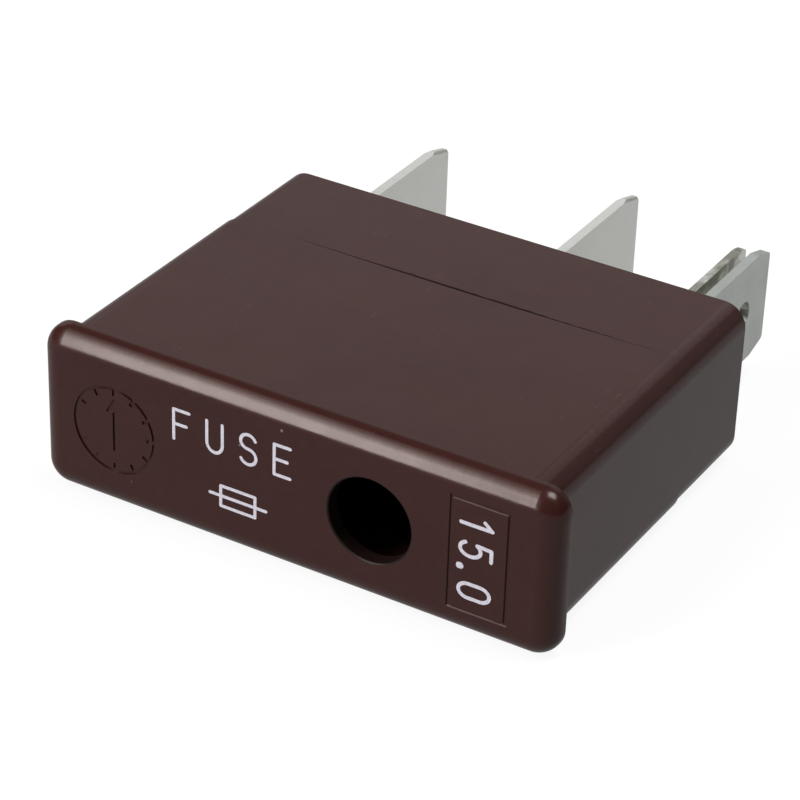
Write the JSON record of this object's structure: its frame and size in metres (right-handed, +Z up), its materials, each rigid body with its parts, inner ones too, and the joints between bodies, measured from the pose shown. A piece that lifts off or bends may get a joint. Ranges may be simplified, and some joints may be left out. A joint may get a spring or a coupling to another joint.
{
  "type": "alarm fuse",
  "caption": "Flat plug-in fuse in a brown moulded case with flat power blades, a sprung alarm plug and a round window for its blown signal flag.",
  "frame": {"origin": "centre of the rear face that seats on the fuse holder", "axes": "+X along the width, away from the line blade; +Y out of the rear face along the blades; +Z up, across the thin way of the case"},
  "size_m": [0.028, 0.0304, 0.0088],
  "materials": {
    "brown_moulding": "glossy dark brown moulding",
    "tinned_blade": "dull tin plate on brass",
    "spring_metal": "rolled copper alloy spring strip",
    "silver_contact": "silver contact, lightly burnished",
    "rivet_metal": "upset brass rivet",
    "element_wire": "drawn silvered wire",
    "solder": "reflowed soft solder",
    "white_flag": "matt white moulding"
  },
  "bodies": {
    "housing": {"cover": "brown_moulding", "base": "brown_moulding", "line_terminal": "tinned_blade", "load_terminal": "tinned_blade", "alarm_terminal": "tinned_blade", "alarm_leaf": "tinned_blade", "alarm_rivet": "rivet_metal", "spring_rivet_rear": "rivet_metal", "spring_rivet_front": "rivet_metal", "fixed_contact": "silver_contact", "fuse_element": "element_wire", "line_solder": "solder", "spring_solder": "solder"},
    "signal_arm": {"signal_spring": "spring_metal", "moving_contact": "silver_contact", "signal_flag": "white_flag"}
  },
  "joints": [
    {"name": "spring_release", "type": "hinge", "parent": "housing", "child": "signal_arm", "pos_m": [0.00162, -0.0081, 0], "axis": [0, 0, 1], "range_deg": [0, 30], "deforming": ["signal_spring"]}
  ]
}
